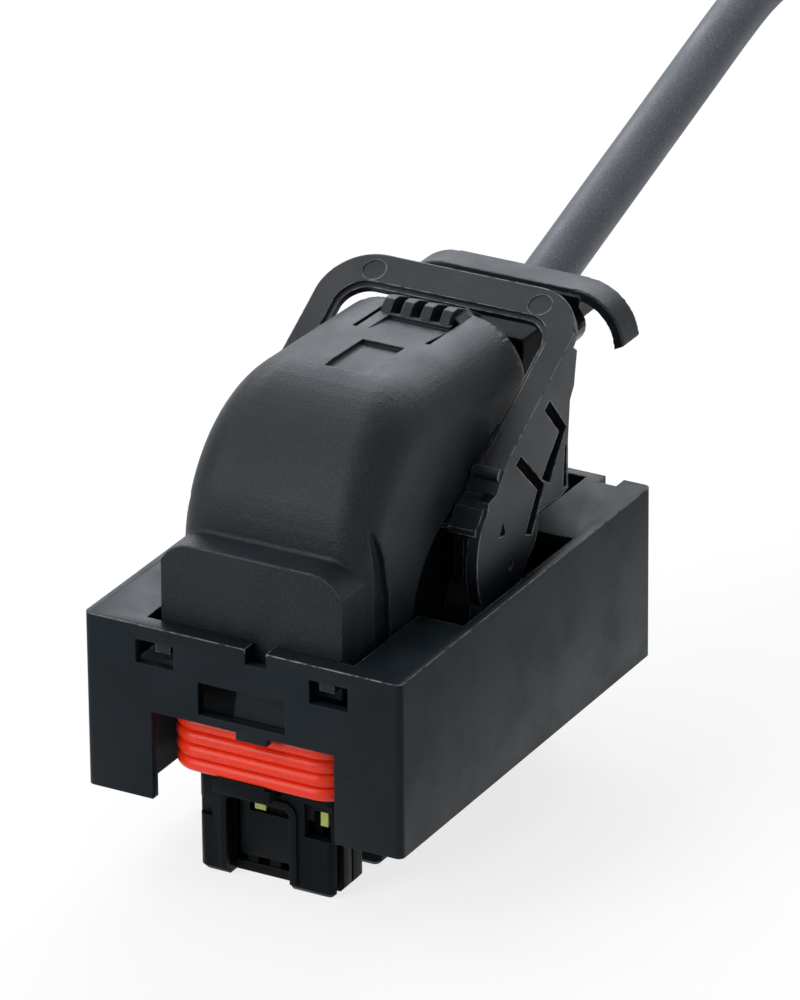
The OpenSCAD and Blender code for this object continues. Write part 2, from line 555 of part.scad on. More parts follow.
module lever() color("#2a2b2e") difference() {
  union() {
    u_frame(lever_w - 2*(flange_w - 0.7), bar_w - 0.7, 4.5, -0.6, 0);
    u_frame(lever_w - 2*flange_w, bar_w, 4, -1.6, -0.5);
    // bar body behind the face
    across(15) polygon([[24, deck_z + 28.8], [27.5, deck_z + 30.9], [30.3, deck_z + 29.3], [27, deck_z + 26.9]]);
    // side plates, webs and hubs
    both_sides([lever_w/2 - plate_t, lever_w/2]) {
      polygon(side_face);
      translate([pivot_y, pivot_z]) circle(hub_r);
    }
    both_sides([15.5, lever_w/2 - 0.5]) polygon(inner_web);
    both_sides([hub_in_x, lever_w/2 - 0.6]) {
      translate([pivot_y, pivot_z]) circle(hub_r - 1.5);
      polygon(tooth);
    }
    // round rib at the foot of the sloping face
    for (s = [-1, 1]) translate([s*(lever_w/2 - flange_w/2 - 0.2), 1.35, deck_z + 15.05]) rotate([0, 90, 0])
      cylinder(r = 0.9, h = flange_w, center = true);
  }
  // blind lattice slots in the side plates
  both_sides([lever_w/2 - slot_d, lever_w/2 + 1]) {
    polygon(bent_slot_low);
    polygon(bent_slot_high);
    polygon(rear_slot);
  }
  // fitting marks on the plates, and ejector marks at the corners of the bar
  both_sides([lever_w/2 - 0.35, lever_w/2 + 1]) {
    polygon([[0.3, deck_z + 6.1], [2.3, deck_z + 5.8], [1.6, deck_z + 8]]);
    polygon([[3.8, deck_z - 0.4], [4.5, deck_z + 0.5], [3.8, deck_z + 1.4], [3.1, deck_z + 0.5]]);
  }
  translate([0, arm_y, arm_z]) rotate([arm_slope, 0, 0]) for (s = [-1, 1])
    translate([s*13.3, arm_l - 2.85, -0.15]) cylinder(r = 1.75, h = 1);
  // bores for the pivot pins
  for (s = [-1, 1]) translate([s*(lever_w/2 + 1), pivot_y, pivot_z]) rotate([0, -s*90, 0])
    cylinder(r = pin_r + pin_play, h = 9);
}

// ---------- cable ----------

tie_y = [36.9, 40.4];
module tie_loop(t) hull() {
  for (s = [-1, 1]) {
    translate([s*9.6, wing_z - 4.8]) circle(2.1 + t, $fn = 24);
    translate([s*10.3, wing_z - 5]) circle(1 + t, $fn = 24);
  }
  translate([0, exit_z - 2.95]) circle(cable_r + 0.3 + t, $fn = 32);
}
module cable_tie() color("#151517") {
  translate([0, tie_y[1], 0]) rotate([90, 0, 0]) linear_extrude(tie_y[1] - tie_y[0]) difference() {
    tie_loop(1.1);
    tie_loop(0);
  }
  box([-3, tie_y[0] - 0.6, exit_z - 11.2], [3, tie_y[1] + 0.6, exit_z - 7.4]);
}

sheath_path = smooth(route, 3);
module cable_sheath() color("#3a3c40") sweep(sheath_path, cable_r, 12);

// bare wire ends beyond the sheath, fanned slightly
function tail(q, fan) = [for (i = [0:4]) last_point + [q[0]*(1 + fan*i*i/16), tail_l*i/4, q[1] - 1.2*i*i/16]];
last_point = route[len(route) - 1];
module wire_tails() color("#3c6ea0") {
  for (q = signal_lay) sweep(tail(q, 0.6), signal_d/2, 6);
  for (q = power_lay) sweep(tail(q, 0.4), power_d/2, 8);
}

outer_housing();
inner_housing();
wire_cover();
lever();
front_retainer();
rear_retainer();
front_seal();
rear_seal();
front_spacer();
rear_spacer();
front_wire_seal();
rear_wire_seal();
seal_cover();
signal_terminals();
power_terminals();
cavity_plugs();
signal_wires();
power_wires();
cable_tie();
cable_sheath();
wire_tails();
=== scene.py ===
import bmesh
import bpy
import math
from mathutils import Matrix, Vector


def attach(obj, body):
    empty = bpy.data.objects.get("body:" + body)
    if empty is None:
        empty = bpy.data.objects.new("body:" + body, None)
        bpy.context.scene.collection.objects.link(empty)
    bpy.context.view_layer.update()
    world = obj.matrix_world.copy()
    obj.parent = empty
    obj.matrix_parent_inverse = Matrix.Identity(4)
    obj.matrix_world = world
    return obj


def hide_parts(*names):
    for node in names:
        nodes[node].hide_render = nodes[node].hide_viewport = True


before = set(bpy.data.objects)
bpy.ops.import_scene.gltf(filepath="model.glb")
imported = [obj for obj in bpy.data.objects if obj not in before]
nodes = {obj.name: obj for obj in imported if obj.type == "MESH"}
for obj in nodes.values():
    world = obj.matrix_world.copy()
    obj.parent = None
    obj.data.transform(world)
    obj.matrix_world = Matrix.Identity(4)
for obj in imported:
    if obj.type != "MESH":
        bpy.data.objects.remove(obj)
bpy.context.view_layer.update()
scene = bpy.context.scene
MM = 0.001

# ---------- camera, at the picture's viewing angle ----------

AZIMUTH, ELEVATION, ROLL = math.radians(29.48), math.radians(25.74), math.radians(-0.61)
AIM = Vector((0, 0, 0.02575))
DISTANCE = 1.2
LENS = 307.19
SHIFT = (0.0293, 0.1343)


def add_camera():
    level = math.cos(ELEVATION)
    back = Vector((math.sin(AZIMUTH) * level, -math.cos(AZIMUTH) * level, math.sin(ELEVATION)))
    right = Vector((math.cos(AZIMUTH), math.sin(AZIMUTH), 0))
    up = back.cross(right)
    r = right * math.cos(ROLL) + up * math.sin(ROLL)
    u = -right * math.sin(ROLL) + up * math.cos(ROLL)
    data = bpy.data.cameras.new("camera")
    data.sensor_fit, data.sensor_width = "AUTO", 36
    data.lens = LENS
    data.shift_x, data.shift_y = SHIFT
    data.clip_end = 10
    cam = bpy.data.objects.new("camera", data)
    scene.collection.objects.link(cam)
    m = Matrix((r, u, back)).transposed().to_4x4()
    m.translation = AIM + back * DISTANCE
    cam.matrix_world = m
    scene.camera = cam


add_camera()

# ---------- mesh helpers ----------


def new_object(name, mesh):
    ob = bpy.data.objects.new(name, mesh)
    scene.collection.objects.link(ob)
    return ob


def from_bmesh(name, bm):
    bmesh.ops.recalc_face_normals(bm, faces=bm.faces)
    mesh = bpy.data.meshes.new(name)
    bm.to_mesh(mesh)
    bm.free()
    return new_object(name, mesh)


def apply_modifiers(ob):
    """Bakes an object's modifiers into its mesh."""
    deps = bpy.context.evaluated_depsgraph_get()
    mesh = bpy.data.meshes.new_from_object(ob.evaluated_get(deps))
    ob.modifiers.clear()
    ob.data = mesh
    return ob


def smooth_by_angle(ob, degrees):
    """Smooth faces, with sharp edges where two of them meet at more than the angle."""
    bm = bmesh.new()
    bm.from_mesh(ob.data)
    for f in bm.faces:
        f.smooth = True
    limit = math.radians(degrees)
    for e in bm.edges:
        e.smooth = len(e.link_faces) == 2 and e.calc_face_angle(0) < limit
    bm.to_mesh(ob.data)
    bm.free()
    return ob


def catmull(points, steps):
    """Smooth curve through points, with steps between each two."""
    out = []
    last = len(points) - 1
    for i in range(last):
        a, b, c, d = (Vector(points[max(0, min(last, j))]) for j in (i - 1, i, i + 1, i + 2))
        for k in range(steps):
            t = k / steps
            square, cube = 2 * a - 5 * b + 4 * c - d, 3 * b - a - 3 * c + d
            out.append(0.5 * (2 * b + (c - a) * t + square * t * t + cube * t ** 3))
    out.append(Vector(points[-1]))
    return out


def tube(name, path, radius, sides):
    """Closed round tube along a path."""
    bm = bmesh.new()
    rings = []
    for i, p in enumerate(path):
        t = (path[min(i + 1, len(path) - 1)] - path[max(i - 1, 0)]).normalized()
        u = t.cross(Vector((1, 0, 0))).normalized()
        v = t.cross(u)
        turns = [2 * math.pi * k / sides for k in range(sides)]
        rings.append([bm.verts.new(p + (u * math.cos(a) + v * math.sin(a)) * radius) for a in turns])
    for a, b in zip(rings, rings[1:]):
        for k in range(sides):
            n = (k + 1) % sides
            bm.faces.new((a[k], a[n], b[n], b[k]))
    bm.faces.new(rings[0][::-1])
    bm.faces.new(rings[-1])
    return smooth_by_angle(from_bmesh(name, bm), 40)


# ---------- cord ----------

# the route's points in part.scad, in mm
ROUTE = [[0, 24, 51], [0, 46, 58.2], [0, 70, 66.1], [0, 95, 74.3], [0, 112, 79.8], [0, 120, 81.6],
         [0, 128, 82], [0, 136, 80.6], [0, 144, 77], [0, 151, 71], [0, 157, 63.5], [0, 163, 54.5],
         [0, 169, 45], [0, 175, 35.5], [0, 181, 26.6], [0, 187, 18.9], [0, 194, 12], [0, 202, 7],
         [0, 211, 4.4], [0, 220, 3.8], [0, 228, 3.8]]
CABLE_R = 3.75 * MM
route_m = [[c * MM for c in p] for p in ROUTE]
cable_path = catmull(route_m, 6)
sheath = tube("cable_sheath_round", cable_path, CABLE_R, 40)
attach(sheath, "housing")
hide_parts("cable_sheath")

# ---------- shapes in mesh code (millimetres in, metres out) ----------


def hull(name, points):
    bm = bmesh.new()
    for p in points:
        bm.verts.new([c * MM for c in p])
    bmesh.ops.convex_hull(bm, input=bm.verts)
    loose = [v for v in bm.verts if not v.link_faces]
    bmesh.ops.delete(bm, geom=loose, context="VERTS")
    return from_bmesh(name, bm)


def ball(c, r, n):
    """Points of a sphere about c."""
    out = []
    for i in range(n // 2 + 1):
        b = math.pi * i / (n // 2) - math.pi / 2
        level, z = r * math.cos(b), c[2] + r * math.sin(b)
        for k in range(n):
            a = 2 * math.pi * k / n
            out.append((c[0] + level * math.cos(a), c[1] + level * math.sin(a), z))
    return out


def circle(c, r, axis, n=64):
    """Points of a circle about c, across one axis."""
    out = []
    for k in range(n):
        a = 2 * math.pi * k / n
        p = [r * math.cos(a), r * math.sin(a)]
        p.insert(axis, 0)
        out.append(tuple(c[i] + p[i] for i in range(3)))
    return out


def corners(a, b):
    return [(x, y, z) for x in (a[0], b[0]) for y in (a[1], b[1]) for z in (a[2], b[2])]


def block(name, a, b):
    return hull(name, corners(a, b))


def arc(c, r, a, b, n):
    """Points of an arc about c in a plane, from a to b degrees in n steps."""
    turns = [math.radians(a + (b - a) * i / n) for i in range(n + 1)]
    return [(c[0] + r * math.cos(t), c[1] + r * math.sin(t)) for t in turns]


def prism(name, outline, axis, lo, hi):
    """Outline in the two other axes (in X, Y, Z order), extruded along axis from lo to hi."""
    bm = bmesh.new()
    rings = []
    for level in (lo, hi):
        ring = []
        for p in outline:
            q = list(p)
            q.insert(axis, level)
            ring.append(bm.verts.new([c * MM for c in q]))
        rings.append(ring)
    n = len(outline)
    for k in range(n):
        bm.faces.new((rings[0][k], rings[0][(k + 1) % n], rings[1][(k + 1) % n], rings[1][k]))
    caps = [bm.faces.new(rings[0][::-1]), bm.faces.new(rings[1])]
    bmesh.ops.triangulate(bm, faces=caps)
    return from_bmesh(name, bm)


def both(name, outline, lo, hi):
    """An outline in Y and Z, extruded on both sides from X lo to hi."""
    return [prism(name, outline, 0, lo, hi), prism(name, outline, 0, -hi, -lo)]


def boolean(ob, others, operation):
    """Adds or cuts each other solid, and removes it."""
    for o in others:
        m = ob.modifiers.new("boolean", "BOOLEAN")
        m.object, m.operation, m.solver = o, operation, "EXACT"
        apply_modifiers(ob)
        bpy.data.objects.remove(o)
    return ob


def cad_copy(name, node):
    return new_object(name, nodes[node].data.copy())


def soften(ob, voxel, rounds, keep):
    """Remeshes a solid at a voxel size in mm, rounds its edges a little, and thins the mesh out again."""
    m = ob.modifiers.new("remesh", "REMESH")
    m.mode, m.voxel_size, m.adaptivity = "VOXEL", voxel * MM, 0
    apply_modifiers(ob)
    m = ob.modifiers.new("smooth", "SMOOTH")
    m.factor, m.iterations = 0.5, rounds
    apply_modifiers(ob)
    m = ob.modifiers.new("thin", "DECIMATE")
    m.ratio = keep
    return apply_modifiers(ob)


def crisp(ob, width):
    """Merges a solid's flat faces and gives its sharp edges a small round, in mm."""
    bm = bmesh.new()
    bm.from_mesh(ob.data)
    bmesh.ops.remove_doubles(bm, verts=bm.verts, dist=1e-6)
    bmesh.ops.dissolve_limit(bm, angle_limit=math.radians(1), verts=bm.verts, edges=bm.edges)
    bm.to_mesh(ob.data)
    bm.free()
    m = ob.modifiers.new("round", "BEVEL")
    m.width, m.segments, m.limit_method, m.angle_limit = width * MM, 2, "ANGLE", math.radians(30)
    m.use_clamp_overlap = True
    apply_modifiers(ob)
    return smooth_by_angle(ob, 30)


# ---------- wire cover, in the measures of part.scad ----------

DECK = 39.0                                  # top of the outer housing
PIVOT = (1.0, 34.0)                          # the lever's axis, in Y and Z
COVER_Z, COVER_T = 33.0, 1.6                 # the cover's underside and its wall
HOOD_X, HOOD_TOP, HOOD_FRONT, HOOD_REAR = 15.1, 70.2, -28.3, 19.0
EDGE_R, CORNER_R, SHOULDER_R = 8.5, 4.5, 22.0
TOE_X, TOE_Y, TOE_Z = 14.3, -33.3, 51.1
TOE_R, TOE_ROUND_X = 5.4, 9.4                # the round of the toe's shoulders
NECK_X = 11.5
WING_Y, WING_Z = (41.0, 46.0), 65.0
WING_X, WING_OUT, WING_IN = 10.5, 8, 6.4     # centre and radii of the wings' curl
EXIT = (46.0, 58.2)                          # the cable's middle at the cover's end, in Y and Z
SLOPE = math.radians(18.2)
TIE_Y = (36.9, 40.4)
HUB_R, EAR_R = 16.3, 5.4                     # room for the lever's hubs and for the pivot ears
CHEEK_X = (12, 13.5)                         # the cover's wall behind a hub
TONGUE_Y = (5.6, 12.2)                       # the dip in the latch tongue
ROLL_DEPTH, ROLL_LENGTH = 1.1, 1.6           # the roll-off of the hood's rear edge


def hood(name, t, balls):
    """Domed hood drawn inset by t: balls along the shoulder, growing towards the top."""
    cy, cz = HOOD_FRONT + SHOULDER_R, HOOD_TOP - SHOULDER_R
    pts = []
    for i in range(balls + 1):
        a = math.radians(90 * i / balls)
        r = CORNER_R + (EDGE_R - CORNER_R) * i / balls
        k = SHOULDER_R - r
        for s in (-1, 1):
            pts += ball((s * (HOOD_X - r), cy - k * math.cos(a), cz + k * math.sin(a)), r - t, 48)
    for s in (-1, 1):
        for z in (COVER_Z - t, cz):
            pts += circle((s * (HOOD_X - CORNER_R), HOOD_FRONT + CORNER_R, z), CORNER_R - t, 2)
        for y in (HOOD_REAR - t - 1, HOOD_REAR - t):
            pts += circle((s * (HOOD_X - EDGE_R), y, HOOD_TOP - EDGE_R - 1), EDGE_R - t, 1)
    pts += corners((-HOOD_X + t, cy, COVER_Z - t), (HOOD_X - t, HOOD_REAR - t, cz))
    return hull(name, pts)


def neck(name, t):
    """Channel that tapers from the hood to the wings, drawn inset by t."""
    low, high = (-NECK_X + t, HOOD_REAR - 4, DECK + 4 + t), (NECK_X - t, HOOD_REAR - 3, HOOD_TOP - 10 - t)
    end = corners((-NECK_X + t, WING_Y[0] - 1, EXIT[1] - 4.5 + t), (NECK_X - t, WING_Y[0], WING_Z - 2.8 - t))
    return hull(name, corners(low, high) + end)


def tie_points(t, y0, y1):
    """Outline of the cable tie's loop, drawn outset by t."""
    pts = []
    for y in (y0, y1):
        for s in (-1, 1):
            pts += circle((s * 9.6, y, WING_Z - 4.8), 2.1 + t, 1, 32)
            pts += circle((s * 10.3, y, WING_Z - 5), 1 + t, 1, 32)
        pts += circle((0, y, EXIT[1] - 2.95), CABLE_R / MM + 0.3 + t, 1, 48)
    return pts


def outer_forms():
    """What is added to the hood: the toe, the neck, and the wings with the roof before them."""
    toe = [(TOE_X, COVER_Z), (TOE_X, TOE_Z - 2.86)] \
        + arc((TOE_ROUND_X, TOE_Z - TOE_R), TOE_R, 25, 90, 10) \
        + arc((-TOE_ROUND_X, TOE_Z - TOE_R), TOE_R, 90, 155, 10) \
        + [(-TOE_X, TOE_Z - 2.86), (-TOE_X, COVER_Z)]
    right, left = (WING_X, WING_Z - WING_OUT), (-WING_X, WING_Z - WING_OUT)
    wing = arc(right, WING_OUT, 90, 5, 20) + arc(right, WING_IN, -1, 90, 20) \
        + arc(left, WING_IN, 90, 181, 20) + arc(left, WING_OUT, 175, 90, 20)
    return [prism("toe", toe, 1, TOE_Y, HOOD_FRONT + 3), neck("neck", 0), prism("wing", wing, 1, *WING_Y),
            block("roof", (-NECK_X, HOOD_REAR + 5, WING_Z - 4.6), (NECK_X, WING_Y[1], WING_Z - 1))]


def inner_forms(ear):
    """What is cut out of it: the rooms inside, the cable's way out, and the places of toe, hubs and ears."""
    rear = WING_Y[1] + 1
    cut = [hood("inner", COVER_T, 8), neck("inner", COVER_T),
           block("toe_in", (-TOE_X + COVER_T, TOE_Y + COVER_T, COVER_Z - 1),
                 (TOE_X - COVER_T, HOOD_FRONT + 8, TOE_Z - 2)),
           block("under", (-NECK_X + COVER_T, HOOD_REAR + 4.4, DECK), (NECK_X - COVER_T, rear, EXIT[1])),
           block("skirt", (-12, HOOD_REAR + 8, DECK), (12, rear, WING_Z - 5.2))]
    axis = Vector((0, math.cos(SLOPE), math.sin(SLOPE))) * MM
    at = Vector((0, EXIT[0], EXIT[1])) * MM
    cut.append(tube("way", [at - axis * 20, at + axis * 30], CABLE_R + 0.4 * MM, 48))
    groove = [(-25.1, COVER_Z - 1), (-25.1, DECK + 17.8), (-22.6, DECK + 11), (-21.3, DECK + 5),
              (-20.8, COVER_Z - 1)]
    cut += both("groove", groove, HOOD_X - 1.2, HOOD_X + 1)
    cut += both("hub", arc(PIVOT, HUB_R, 0, 360, 72)[:-1], CHEEK_X[1], HOOD_X + 1)
    cut += both("ear", ear, 11.7, HOOD_X + 1)
    return cut


def roll_off(cover):
    """Draws the hood's rear edge in, more and more over its last stretch."""
    round_x, round_z = 6.6, HOOD_TOP - EDGE_R - 1
    for v in cover.data.vertices:
        x, y, z = v.co / MM
        if HOOD_REAR - ROLL_LENGTH < y < HOOD_REAR + 0.2:
            cx, cz = max(-round_x, min(round_x, x)), min(z, round_z)
            d = math.hypot(x - cx, z - cz)
            if d > 4:
                along = min(1, (y - HOOD_REAR + ROLL_LENGTH) / ROLL_LENGTH)
                f = ROLL_DEPTH * along ** 2 * min(1, (d - 4) / 4.5) / d
                v.co = Vector((x - (x - cx) * f, y, z - (z - cz) * f)) * MM


def detail_cuts():
    """The latch tongue's slots, its dip, the ribs' trough, the bare recessed plate and the tie's groove."""
    above = HOOD_TOP + 3
    y0, y1 = TONGUE_Y
    dip = [(y0, HOOD_TOP - 0.45), (y1, HOOD_TOP - 1.35), (y1, above), (y0, above)]
    plate = [(-8.5, HOOD_TOP - 0.6), (2.2, HOOD_TOP - 0.95), (2.2, above), (-8.5, above)]
    core = hull("core", tie_points(-0.2, TIE_Y[0] - 0.5, TIE_Y[1] + 0.5))
    band = block("band", (-13, TIE_Y[0] - 0.2, WING_Z - 7), (13, TIE_Y[1] + 0.2, WING_Z + 3))
    return [block("slot", (-5.8, 5.9, HOOD_TOP - 4), (-5.1, 17, HOOD_TOP + 2)),
            block("slot", (6.3, 5, HOOD_TOP - 4), (7, 17.3, HOOD_TOP + 2)),
            prism("dip", dip, 0, -3.3, 6.6),
            block("trough", (-5.4, 12.9, HOOD_TOP - 1.9), (6.6, 17.6, above)),
            prism("plate", plate, 0, -2, 4.7),
            boolean(band, [core], "DIFFERENCE")]


def details():
    """The thumb ribs, the small wedge beside the dip, and the hooks under the toe."""
    rib = [(12.6, -2.1), (12.6, -0.8), (13.3, 0.1), (14.1, 0.75), (15.4, 0.75), (16.4, 0.35), (17.5, -0.12),
           (19, -0.8), (20.6, -1.75), (22.2, -2.75), (22.2, -5), (17.7, -5), (17.7, -2.4)]
    rib = [(y, HOOD_TOP + z) for y, z in rib]
    wedge = [(5.7, 68.2), (5.7, 69.9), (7.1, 68.7), (7.1, 68.2)]
    return [prism("rib", rib, 0, x, x + 1.5) for x in (-5, -1.9, 1.2, 4.3)] \
        + [prism("wedge", wedge, 1, 14.5, 18.4)] \
        + [block("hook", (x, TOE_Y - 1.9, DECK - 4.1), (x + 2.3, TOE_Y + 1, DECK - 2.7)) for x in (11.8, -14.1)]


def make_cover():
    cover = hood("wire_cover_skin", 0, 18)
    boolean(cover, outer_forms(), "UNION")
    ear = arc(PIVOT, EAR_R, 0, 180, 24) + [(PIVOT[0] - EAR_R, COVER_Z - 1), (PIVOT[0] + EAR_R, COVER_Z - 1)]
    boolean(cover, inner_forms(ear), "DIFFERENCE")
    cheeks = both("cheek", arc(PIVOT, HUB_R + 0.5, 0, 180, 60), *CHEEK_X)
    for cheek in cheeks:
        boolean(cheek, [prism("ear", ear, 0, -16, 16)], "DIFFERENCE")
    boolean(cover, cheeks, "UNION")
    soften(cover, 0.2, 4, 0.22)
    roll_off(cover)
    boolean(cover, detail_cuts(), "DIFFERENCE")
    boolean(cover, details(), "UNION")
    return smooth_by_angle(cover, 32)


# ---------- radial seals ----------

SEAL_Z, LIPS, LIP_PITCH = 16.5, 4, 2.1
LIP_ROOT, LIP_STEPS = 0.58, 20               # how far the lips' roots stand out, and rings a lip
FRONT_COLLAR, REAR_COLLAR = (-31.2, -20.3), (-18.9, 31.9)


def make_seal(name, half, y, out, ends):
    """Sleeve round a collar from y[0] to y[1], with rounded lips that stand out by out at the sides
    and by ends at the two ends."""
    bm = bmesh.new()

    def ring(f, z, r):
        x, y0, y1 = half + out * f, y[0] - ends[0] * f, y[1] + ends[1] * f
        pts = []
        for cx, cy, a in ((x - r, y1 - r, 0), (r - x, y1 - r, 90), (r - x, y0 + r, 180), (x - r, y0 + r, 270)):
            pts += arc((cx, cy), r, a, a + 90, 12)
        return [bm.verts.new(Vector((px, py, z)) * MM) for px, py in pts]

    rings = []
    for i in range(LIPS * LIP_STEPS + 1):
        d = abs((i % LIP_STEPS) / LIP_STEPS * 2 - 1)
        f = LIP_ROOT + 0.42 * math.sqrt(1 - d * d)
        rings.append(ring(f, SEAL_Z + LIP_PITCH * i / LIP_STEPS, 3.6 + (f - LIP_ROOT) * 3.3))
    rings += [ring(0, SEAL_Z + LIPS * LIP_PITCH, 3), ring(0, SEAL_Z, 3)]
    for a, b in zip(rings, rings[1:] + rings[:1]):
        for k in range(len(a)):
            m = (k + 1) % len(a)
            bm.faces.new((a[k], a[m], b[m], b[k]))
    return smooth_by_angle(from_bmesh(name, bm), 50)


# ---------- materials ----------


class Nodes:
    """Shorthand for a node tree. Values are numbers, colours or output sockets."""

    def __init__(self, owner, output):
        owner.use_nodes = True
        self.tree = owner.node_tree
        self.tree.nodes.clear()
        self.surface = self.add(output).inputs["Surface"]

    def put(self, value, to):
        if isinstance(value, bpy.types.NodeSocket):
            self.tree.links.new(value, to)
        else:
            to.default_value = value

    def add(self, kind, **values):
        """A node with its attributes and inputs set."""
        node = self.tree.nodes.new(kind)
        for key, value in values.items():
            if hasattr(node, key):
                setattr(node, key, value)
            else:
                self.put(value, node.inputs[key])
        return node

    def calc(self, operation, *values, kind="ShaderNodeMath"):
        node = self.add(kind, operation=operation)
        for k, value in enumerate(values):
            self.put(value, node.inputs[k])
        return node.outputs["Value"]

    def spread(self, source, lo, hi, a=0.0, b=1.0):
        """Maps a value from lo..hi to a..b, clamped."""
        limits = {"Value": source, "From Min": lo, "From Max": hi, "To Min": a, "To Max": b}
        return self.add("ShaderNodeMapRange", **limits).outputs["Result"]

    def mix(self, factor, a, b):
        """Mixes two colours, of which a may be a socket."""
        a = a if isinstance(a, bpy.types.NodeSocket) else (*a, 1)
        return self.add("ShaderNodeMix", data_type="RGBA", Factor=factor, A=a, B=(*b, 1)).outputs["Result"]

    def blend(self, factor, a, b):
        """Sends a mix of two shader nodes to the surface."""
        node = self.add("ShaderNodeMixShader")
        for k, value in enumerate((factor, a.outputs[0], b.outputs[0])):
            self.put(value, node.inputs[k])
        self.put(node.outputs[0], self.surface)


def moulded(name, colour, rough, spec, grain, depth, blotch=0.25, edge=0.22, speck=0.0, wear_and_highlight_to=0.02, above=None):
    """Moulded plastic or rubber: soft blotches in tone and gloss, a fine grain, and rounded edges that catch
    light. In mm: grain is the grain's size, depth its height, edge the edges' radius. blotch is the change in
    tone. speck lightens small dots, and wear_and_highlight_to lightens edges with painted highlight and some
    wear, only those above a height where above is given."""
    mat = bpy.data.materials.new(name)
    n = Nodes(mat, "ShaderNodeOutputMaterial")
    place = n.add("ShaderNodeTexCoord").outputs["Object"]

    def noise(scale, detail, roughness=0.5):
        node = n.add("ShaderNodeTexNoise", Vector=place, Scale=scale, Detail=detail, Roughness=roughness)
        return node.outputs["Fac"]

    big, fine = noise(90, 4, 0.62), noise(1000 / grain, 3, 0.6)
    tone = n.spread(n.calc("MULTIPLY_ADD", fine, 1.3, big), 0.8, 1.5)
    shade = n.mix(tone, [c * (1 - blotch) for c in colour], [c * (1 + blotch) for c in colour])
    if speck:
        dots = n.add("ShaderNodeTexVoronoi", Vector=place, Scale=1000 / 0.42).outputs["Distance"]
        shade = n.mix(n.spread(dots, 0.34, 0.2), shade, [c + speck for c in colour])
    # painted highlight on edges, with some wear: lighter where the rounded normal leaves the face's own, in
    # patches, and not in hollows
    rounded = n.add("ShaderNodeBevel", samples=6, Radius=edge * MM).outputs["Normal"]
    flat = n.add("ShaderNodeNewGeometry").outputs["Normal"]
    turned = n.spread(n.calc("DOT_PRODUCT", rounded, flat, kind="ShaderNodeVectorMath"), 0.985, 0.82)
    wear_and_highlight = n.calc("MULTIPLY", turned, n.spread(noise(700, 2), 0.36, 0.56, 0.12, 1))
    open_air = n.add("ShaderNodeAmbientOcclusion", samples=4, Distance=0.8 * MM).outputs["AO"]
    wear_and_highlight = n.calc("MULTIPLY", wear_and_highlight, n.spread(open_air, 0.86, 0.97))
    if above is not None:
        height = n.add("ShaderNodeSeparateXYZ", Vector=place).outputs["Z"]
        wear_and_highlight = n.calc("MULTIPLY", wear_and_highlight, n.spread(height, above * MM, (above + 0.4) * MM))
    # the edges are lightened: painted highlight, partly wear
    shade = n.mix(wear_and_highlight, shade, [c * 1.9 + wear_and_highlight_to for c in colour])
    gloss = n.spread(big, 0.3, 0.7, rough - 0.11, rough + 0.11)
    bump = n.add("ShaderNodeBump", Strength=1.0, Distance=depth * MM, Height=fine, Normal=rounded)
    finish = {"Base Color": shade, "Roughness": gloss, "Normal": bump.outputs["Normal"], "Specular IOR Level": spec}
    n.put(n.add("ShaderNodeBsdfPrincipled", **finish).outputs["BSDF"], n.surface)
    return mat


def dress(ob, mat):
    ob.data.materials.clear()
    ob.data.materials.append(mat)
    return ob


def paint(ob, mat, test):
    """Gives the faces whose centre and normal (in mm) pass the test a material of their own."""
    ob.data.materials.append(mat)
    k = len(ob.data.materials) - 1
    for f in ob.data.polygons:
        if test(f.center / MM, f.normal):
            f.material_index = k


def srgb(*c):
    """Linear colour from 8-bit sRGB values."""
    return [((v / 255 + 0.055) / 1.055) ** 2.4 if v > 10 else v / 255 / 12.92 for v in c]


# the last edge values set painted highlight on edges, partly wear; on the housing only above 38.3 mm, along its top
# rim
HOUSING = moulded("housing_black", srgb(20, 27, 32), 0.38, 0.1, 0.3, 0.02, edge=0.36, wear_and_highlight_to=0.42, above=38.3)
COVER = moulded("cover_grained", srgb(25, 31, 36), 0.43, 0.19, 0.26, 0.075, blotch=0.45, edge=0.35, speck=0.01,
                wear_and_highlight_to=0.12)
LEVER = moulded("lever_black", srgb(22, 27, 32), 0.42, 0.23, 0.3, 0.06, edge=0.34, wear_and_highlight_to=0.38)
# painted shade: a near-black, dull material put on faces that lie in shadow (the neck behind the hood, the hub
# pockets, the window insides and the lever's slot floors)
PAINTED_SHADE = moulded("painted_shade_black", srgb(8, 10, 12), 0.6, 0.04, 0.4, 0.01, wear_and_highlight_to=0.01)
NOSE = moulded("retainer_black", srgb(7, 12, 16), 0.4, 0.08, 0.4, 0.02, edge=0.15, wear_and_highlight_to=0.03)
INNER = moulded("inner_black", srgb(8, 11, 14), 0.45, 0.07, 0.5, 0.01, wear_and_highlight_to=0.01)
RED = moulded("seal_red", [0.78, 0.032, 0.008], 0.34, 0.3, 0.8, 0.004, blotch=0.08, edge=0.1)
MAT_RED = moulded("mat_red", [0.6, 0.08, 0.03], 0.45, 0.4, 0.6, 0.004, blotch=0.1)
GREEN = moulded("spacer_green", srgb(170, 185, 95), 0.45, 0.45, 0.5, 0.003, blotch=0.08)
TIN = moulded("contact_tin", [0.62, 0.52, 0.36], 0.3, 0.5, 0.3, 0.002, blotch=0.1)
IVORY = moulded("plug_ivory", srgb(210, 205, 190), 0.45, 0.45, 0.5, 0.003, blotch=0.05)
BLUE = moulded("wire_blue", srgb(45, 85, 150), 0.4, 0.45, 0.5, 0.003, blotch=0.1)
WIRE_RED = moulded("wire_red", srgb(150, 35, 30), 0.4, 0.45, 0.5, 0.003, blotch=0.1)
TIE = moulded("tie_black", srgb(6, 7, 9), 0.16, 0.22, 0.6, 0.002)
SHEATH = moulded("sheath_grey", srgb(74, 78, 85), 0.5, 0.36, 0.35, 0.02, speck=0.05)

